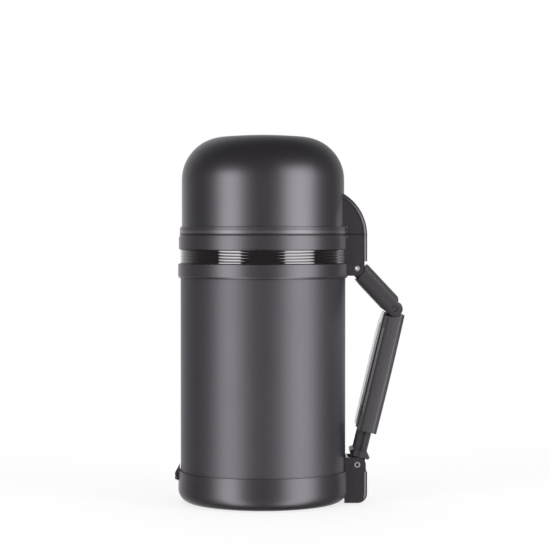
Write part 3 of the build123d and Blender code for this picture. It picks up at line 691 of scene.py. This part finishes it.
# %% Plan of a thread
points_per_turn, points_round_thread = 90, 10
thread = Plan("thread")
wall_radius = thread.size("Wall radius")
thread_depth = thread.size("Depth")
thread_pitch = thread.size("Pitch")
turns = thread.size("Turns")
thread_bottom = thread.size("Bottom")
helix_inputs = {
    "Resolution": points_per_turn,
    "Rotations": turns,
    "Start Radius": wall_radius,
    "End Radius": wall_radius,
    "Height": thread.math("MULTIPLY", thread_pitch, turns),
}
helix = thread.node("GeometryNodeCurveSpiral", inputs=helix_inputs)
raised = thread.placed(helix, Translation=thread.vector(Z=thread_bottom))
print("helix points per turn:", points_per_turn)

# %% Faded ends and the section of the thread
fade_steepness = 14.0  # a thread has its full depth after one part in 14 of its length
flank_share = 0.3  # half the height of its section, as a share of the pitch
along = thread.node("GeometryNodeSplineParameter", output="Factor")
from_start = thread.math("MULTIPLY", along, fade_steepness)
to_end = thread.math("SUBTRACT", 1.0, along)
from_end = thread.math("MULTIPLY", to_end, fade_steepness)
fade = thread.math("MINIMUM", thread.math("MINIMUM", from_start, from_end), 1.0)
faded_inputs = {"Curve": raised, "Radius": fade}
faded = thread.node("GeometryNodeSetCurveRadius", inputs=faded_inputs)
flank_height = thread.math("MULTIPLY", thread_pitch, flank_share)
flank_size = thread.vector(X=thread_depth, Y=flank_height, Z=1.0)
flank = thread.placed(thread.circle(points_round_thread, 1.0), Scale=flank_size)
thread.end(thread.swept(faded, flank), satin.material)
print("thread fades over", round(100 / fade_steepness, 1), "% of its length")


# %% Three threads
def screw_thread(name, body, finish, sizes):
    """A thread on a wall; every length is in millimetres."""
    lengths = {label: value * MM for label, value in sizes.items() if label != "Turns"}
    made = smooth(thread.make(name, {**lengths, "Turns": sizes["Turns"]}))
    made.data.materials.clear()
    made.data.materials.append(finish.material)
    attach(made, body)


on_neck = {"Wall radius": 47.45, "Pitch": 3.6, "Turns": 1.6, "Bottom": 172.2, "Depth": 0.5}
on_stopper = {"Wall radius": 43.25, "Pitch": 3.6, "Turns": 2.2, "Bottom": 170.6, "Depth": 0.45}
on_plug = {"Wall radius": 11.2, "Pitch": 3.0, "Turns": 3.0, "Bottom": 166.0, "Depth": 0.42}
screw_thread("neck_thread", "jar", satin, on_neck)
screw_thread("stopper_thread", "stopper", stopper, on_stopper)
screw_thread("plug_thread", "plug", plug, on_plug)

# %% [markdown]
# ## Rolled rims of the pins
#
# The handle's hinge pins are tubes whose ends are rolled over, so each end shows as a bright
# ring. One plan makes a ring, turns it to face along the pin and sets one at each end.

# %% Plan of the rolled rims
points_round_ring, points_round_wire = 40, 14
rims = Plan("rolled_rims")
ring_radius = rims.size("Ring radius")
wire_radius = rims.size("Wire radius")
pin_x = rims.size("X")
pin_z = rims.size("Z")
half_length = rims.size("Half length")
ring = rims.circle(points_round_ring, ring_radius)
wire = rims.circle(points_round_wire, wire_radius)
facing = rims.placed(rims.swept(ring, wire, capped=False), Rotation=(math.pi / 2, 0, 0))
near_y = rims.math("MULTIPLY", half_length, -1.0)
near_end = rims.vector(X=pin_x, Y=near_y, Z=pin_z)
pin_length = rims.vector(Y=rims.math("MULTIPLY", half_length, 2.0))
rims.end(rims.copies(facing, rims.row(2, near_end, pin_length)), rolled_steel.material)
print("points round a rim:", points_round_ring)

# %% Rims of the lower and the upper pin
pin_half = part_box("lower_pin")[1][1]
for name, pivot, ring_mm, wire_mm in (
    ("lower_pin_rims", lower_pivot, 1.4, 0.55),
    ("upper_pin_rims", upper_pivot, 1.35, 0.4),
):
    rim_sizes = {"Ring radius": ring_mm * MM, "Wire radius": wire_mm * MM}
    rim_sizes.update({"X": pivot[0] * MM, "Z": pivot[1] * MM, "Half length": pin_half})
    rim = smooth(rims.make(name, rim_sizes), 80.0)
    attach(rim, "jar")

# %% [markdown]
# ## The clamp screw
#
# The base ring is clamped on by a screw with a round head. A turned outline gives the head
# and the shank, and two crossed blocks cut the recess. A cut takes a Boolean modifier, which
# is applied at once, so that the screw keeps a plain mesh.


# %% Pieces from a mesh and from a turned outline
def new_piece(name, shape, finish):
    """A plain mesh object made from a bmesh."""
    mesh = bpy.data.meshes.new(name)
    shape.to_mesh(mesh)
    shape.free()
    mesh.materials.append(finish.material)
    made = bpy.data.objects.new(name, mesh)
    bpy.context.scene.collection.objects.link(made)
    return made


def turned(name, outline_points, finish, segments=48):
    """A solid of revolution about the Y axis from (y, radius) points."""
    shape = bmesh.new()
    line = [shape.verts.new((radius, y, 0)) for y, radius in outline_points]
    edges = [shape.edges.new(pair) for pair in zip(line, line[1:])]
    turn = {"cent": (0, 0, 0), "axis": (0, 1, 0), "angle": 2 * math.pi}
    bmesh.ops.spin(shape, geom=line + edges, steps=segments, use_merge=True, **turn)
    bmesh.ops.remove_doubles(shape, verts=shape.verts, dist=weld_distance)
    bmesh.ops.recalc_face_normals(shape, faces=shape.faces)
    return new_piece(name, shape, finish)


# %% Head and shank
screw_low, screw_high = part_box("clamp_screw")
screw_x = (screw_low[0] + screw_high[0]) / 2
screw_z = (screw_low[2] + screw_high[2]) / 2
head_radius = (screw_high[0] - screw_low[0]) / 2
head_height = 1.3 * MM
shank_radius = 0.78 * MM
face_y, tip_y = screw_low[1], screw_high[1]
screw_outline = [
    (face_y, 0),
    (face_y, 0.62 * head_radius),
    (face_y + 0.12 * head_height, 0.82 * head_radius),
    (face_y + 0.35 * head_height, 0.96 * head_radius),
    (face_y + 0.6 * head_height, head_radius),
    (face_y + head_height, head_radius),
    (face_y + head_height, shank_radius),
    (tip_y - 0.3 * MM, shank_radius),
    (tip_y, 0.7 * shank_radius),
    (tip_y, 0),
]
screw = turned("cross_screw", screw_outline, plated)
print("screw head radius:", round(head_radius / MM, 2), "mm")

# %% Cross recess
cross_long, cross_wide, cross_deep = 1.8 * MM, 0.42 * MM, 0.8 * MM
for wide, tall in ((cross_long, cross_wide), (cross_wide, cross_long)):
    shape = bmesh.new()
    bmesh.ops.create_cube(shape, size=1.0)
    bmesh.ops.scale(shape, vec=(wide, 2 * cross_deep, tall), verts=shape.verts)
    bmesh.ops.translate(shape, vec=(0, face_y, 0), verts=shape.verts)
    cutter = new_piece("cross_cutter", shape, plated)
    cut = screw.modifiers.new("cross", "BOOLEAN")
    cut.operation = "DIFFERENCE"
    cut.object = cutter
    view = bpy.context.evaluated_depsgraph_get()
    cut_mesh = bpy.data.meshes.new_from_object(screw.evaluated_get(view))
    screw.modifiers.clear()
    screw.data = cut_mesh
    bpy.data.objects.remove(cutter)
screw.data.transform(Matrix.Translation((screw_x, 0, screw_z)))
smooth(screw, 30.0)
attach(screw, "jar")
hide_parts("clamp_screw")
print("cross_screw faces:", len(screw.data.polygons))

# %% [markdown]
# ## The lip of the finger pad
#
# The pad is folded over the rail of the grip, where its edge shows as a thin rounded lip on
# both sides. It is one section carried along the grip, so its points are given across and
# along the grip's own line and turned into the jar's coordinates.

# %% Finish of the lip
lip_plastic = Finish("lip_plastic", {"Metallic": 0.75, "IOR": 1.5})
lip_grain = lip_plastic.noise(1500.0, 2.0)
lip_plastic.tint(lip_grain, (0.27, 0.25, 0.27), (0.33, 0.31, 0.33))
lip_plastic.roughen(0.30, 0.08, lip_grain)

# %% Section and ends of the lip, in millimetres
grip_run = middle_pivot[0] - lower_pivot[0]
grip_rise = middle_pivot[1] - lower_pivot[1]
lean = math.atan2(grip_run, grip_rise)
grip_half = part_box("grip_shell")[1][1] / MM
above_lower_pivot, below_middle_pivot = 33.15, 13.15
lip_ends = (above_lower_pivot, math.hypot(grip_run, grip_rise) - below_middle_pivot)
lip_section = [
    (-5.0, -0.38),
    (-4.9, -0.3),
    (-4.6, -0.14),
    (-4.3, -0.04),
    (-4.0, 0.0),
    (-3.75, -0.06),
    (-3.65, -0.2),
    (-3.65, -0.38),
]
print("lip length:", round(lip_ends[1] - lip_ends[0], 1), "mm")


def grip_point(across, along, y):
    """A point of the grip, from millimetres across and along its line."""
    x = lower_pivot[0] + across * math.cos(lean) + along * math.sin(lean)
    z = lower_pivot[1] - across * math.sin(lean) + along * math.cos(lean)
    return (x * MM, y * MM, z * MM)


# %% Lip on both sides
shape = bmesh.new()
for side in (-1, 1):
    low_end, high_end = (
        [
            shape.verts.new(grip_point(across, along, side * (grip_half + out)))
            for across, out in lip_section
        ]
        for along in lip_ends
    )
    for index in range(len(lip_section)):
        after = (index + 1) % len(lip_section)
        shape.faces.new((low_end[index], low_end[after], high_end[after], high_end[index]))
    shape.faces.new(low_end)
    shape.faces.new(high_end)
lip = smooth(new_piece("pad_lip", shape, lip_plastic), 60.0)
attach(lip, "grip")
print("pad_lip faces:", len(lip.data.polygons))

# %% [markdown]
# ## Floor
#
# A pale round floor keeps the jar's soft shadow and fades out at its edge, where the white
# of the room takes over. It glows a little for the camera alone, so that it looks as white
# as the room without throwing more light on the jar.

# %% Floor
floor_radius, fade_radius = 0.9, 0.35
pale = Finish("pale_floor", {"Roughness": 0.9, "Specular IOR Level": 0.1})
pale.shader.inputs["Emission Strength"].default_value = 1.0
pale.vary("Alpha", 1.0 - pale.step(pale.reach(), fade_radius, floor_radius))
looked_at = pale.node("LightPath", output="Is Camera Ray")
lit_grey, seen_grey, glow_grey = ((level,) * 3 for level in (0.93, 0.26, 0.765))
pale.tint(looked_at, lit_grey, seen_grey)
pale.vary("Emission Color", pale.blend(looked_at, (0, 0, 0), glow_grey))
shape = bmesh.new()
bmesh.ops.create_circle(shape, cap_ends=True, segments=128, radius=floor_radius)
floor = new_piece("floor", shape, pale)
floor.visible_glossy = False
print("floor radius:", floor_radius, "m")

# %% [markdown]
# ## White room
#
# The world is plain white for what looks at it, for what mirrors it and for what shines
# through, and a little lower as a light. A mix between two backgrounds, switched by the kind
# of ray, keeps the two apart.

# %% World
world = bpy.data.worlds.new("white_room")
world.use_nodes = True
bpy.context.scene.world = world
room = Shading(world.node_tree)
room.tree.nodes.remove(room.tree.nodes["Background"])
white = (1, 1, 1, 1)
lit_strength, seen_strength = 0.7, 1.0
as_light = room.node("Background", inputs={"Color": white, "Strength": lit_strength})
as_seen = room.node("Background", inputs={"Color": white, "Strength": seen_strength})
camera_ray = room.node("LightPath", output="Is Camera Ray")
glossy_ray = room.node("LightPath", output="Is Glossy Ray")
through_ray = room.node("LightPath", output="Is Transmission Ray")
looking = room.math("MAXIMUM", room.math("MAXIMUM", camera_ray, glossy_ray), through_ray)
swapped = room.node("MixShader", inputs={0: looking, 1: as_light, 2: as_seen})
room.feed(room.tree.nodes["World Output"].inputs["Surface"], swapped)
print("world:", world.name)

# %% [markdown]
# ## What the lacquer mirrors
#
# A dark metallic lacquer shows mostly what stands round it. In a white room it would look
# plain grey, so the jar stands in a large dark ball that only mirror-like surfaces see. Two
# tall soft boxes glow in its front half, which the lacquer shows as two upright highlights,
# and a soft backdrop behind the jar gives its edges their thin light line. The ball is a
# mesh and not part of the world, so that it can be hidden from the camera and from
# everything that only scatters light. Its pattern is read off three angles: round the jar,
# up from the horizon, and away from the point straight behind.

# %% Angles on the ball
ball_radius = 2.6
screen_base = {"Base Color": (0, 0, 0, 1), "Roughness": 1.0, "Specular IOR Level": 0.0}
screen = Finish("studio_screen", screen_base)
screen.shader.inputs["Emission Strength"].default_value = 1.0
aside, ahead, above = (screen.place(axis) for axis in "XYZ")
degrees = math.degrees(1)
azimuth = screen.math("ARCTAN2", aside, 0.0 - ahead) * degrees
elevation = screen.math("ARCSINE", above * (1 / ball_radius)) * degrees
from_behind = screen.math("ARCCOSINE", ahead * (1 / ball_radius)) * degrees


def between(value, low, high, soft):
    """One inside a range of angles and nothing outside it, with soft edges."""
    rise = screen.step(value, low - soft, low + soft)
    fall = screen.step(value, high + soft, high - soft)
    return rise * fall


def round_jar(stops):
    """Brightness read off (azimuth, brightness) stops, from -180 to 180 degrees."""
    shifted = [(place + 180.0, level) for place, level in stops]
    return screen.ramp(azimuth + 180.0, shifted, 360.0)


# %% Two soft boxes
left_stops = [
    (-63.2, 0),
    (-62, 0.82),
    (-57, 0.94),
    (-51, 1),
    (-41, 1),
    (-36, 0.94),
    (-31, 0.82),
    (-29.8, 0),
]
right_stops = [
    (30.1, 0),
    (31.3, 0.62),
    (35, 0.8),
    (40, 0.88),
    (47, 0.93),
    (60, 0.93),
    (66, 0.9),
    (70, 0.82),
    (74.2, 0.68),
    (75.6, 0),
]
box_foot, left_top, right_top, box_softness = -62.0, 22.5, 31.0, 6.0
left_box = round_jar(left_stops) * between(elevation, box_foot, left_top, box_softness)
right_box = round_jar(right_stops) * between(elevation, box_foot, right_top, box_softness)
print("soft box tops:", left_top, "and", right_top, "degrees")

# %% Backdrop and the ball
backdrop_stops = [
    (0, 1.0),
    (12, 0.95),
    (18, 0.62),
    (31, 0.32),
    (40, 0.19),
    (48, 0.10),
    (58, 0.03),
    (70, 0.0),
]
left_widening = 9.0  # degrees by which the backdrop is wider on the left
half_middle = 0.6  # metres to each side over which the left turns into the right
on_left = screen.step(aside, half_middle, -half_middle)
backdrop = screen.ramp(from_behind - left_widening * on_left, backdrop_stops, 180.0)
glow = left_box + right_box + backdrop
shade = 0.028
warm_shade = (1.1 * shade, shade, 1.05 * shade)
screen.vary("Emission Color", screen.blend(glow, warm_shade, (1, 1, 1)))
shape = bmesh.new()
bmesh.ops.create_uvsphere(shape, u_segments=64, v_segments=32, radius=ball_radius)
surround = new_piece("surround", shape, screen)
surround.visible_camera = False
surround.visible_diffuse = False
surround.visible_shadow = False
surround.visible_transmission = False
print("surround radius:", ball_radius, "m")

# %% [markdown]
# ## Lamps
#
# Two large area lamps stand where the soft boxes are and give the light that scatters. The
# ball already shows the boxes in the lacquer, so the lamps are hidden from mirror-like
# surfaces.

# %% Lamps
lamp_power, lamp_distance, lamp_height = 9.0, 1.6, 0.7
lamp_width, lamp_tall = 0.6, 1.2
aim_point = Vector((0, 0, 0.12))
lamp_angles = {"left_softbox": -46, "right_softbox": 52}  # degrees round the jar
for lamp_name, angle in lamp_angles.items():
    light = bpy.data.lights.new(lamp_name, "AREA")
    light.shape = "RECTANGLE"
    light.size = lamp_width
    light.size_y = lamp_tall
    light.energy = lamp_power
    lamp = bpy.data.objects.new(lamp_name, light)
    bpy.context.scene.collection.objects.link(lamp)
    turn = math.radians(angle)
    lamp.location = (lamp_distance * math.sin(turn), -lamp_distance * math.cos(turn), lamp_height)
    aim = aim_point - lamp.location
    lamp.rotation_euler = aim.to_track_quat("-Z", "Y").to_euler()
    lamp.visible_glossy = False
    print("lamp:", lamp_name)

# %% [markdown]
# ## Camera
#
# A long lens from a little over a metre away, level with the shoulder of the jar and tipped
# down slightly, keeps the upright lines upright.

# %% Camera
tip_down = 1.224
camera_data = bpy.data.cameras.new("camera")
camera_data.sensor_width = 36.0
camera_data.lens = 130.1
camera_data.clip_start = 0.05
camera = bpy.data.objects.new("camera", camera_data)
bpy.context.scene.collection.objects.link(camera)
camera.location = (0.0076, -1.260, 0.171)
camera.rotation_euler = (math.radians(90 - tip_down), 0, 0)
scene = bpy.context.scene
scene.camera = camera
scene.view_settings.view_transform = "Standard"
print("lens:", camera_data.lens, "mm")
